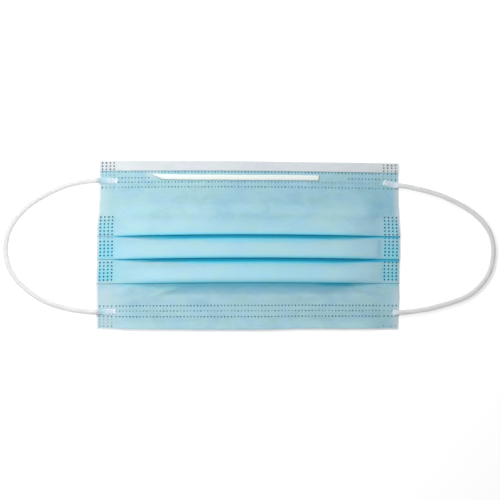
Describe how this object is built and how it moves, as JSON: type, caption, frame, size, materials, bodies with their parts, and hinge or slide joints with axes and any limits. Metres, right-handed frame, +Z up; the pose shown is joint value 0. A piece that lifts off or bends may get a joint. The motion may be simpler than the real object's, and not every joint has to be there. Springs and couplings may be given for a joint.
{
  "type": "disposable ear-loop face mask",
  "caption": "Flat-folded disposable face mask of pleated nonwoven cloth, with a bendable nose strip, welded sides and elastic ear loops.",
  "frame": {"origin": "on the surface that the mask lies on, under the middle of the panel", "axes": "+X along the width to the right as seen from the front, +Y towards the nose edge, +Z up out of the blue front"},
  "size_m": [0.286, 0.098, 0.0068],
  "materials": {
    "blue_nonwoven": "matte spunbond nonwoven, point-bonded",
    "white_nonwoven": "matte spunbond nonwoven",
    "white_strip": "satin",
    "white_elastic": "soft knitted cord"
  },
  "bodies": {
    "root": {"pleated_panel": "blue_nonwoven", "lining_margin": "white_nonwoven", "nose_strip": "white_strip", "ear_loop_left": "white_elastic", "ear_loop_right": "white_elastic"}
  },
  "joints": []
}
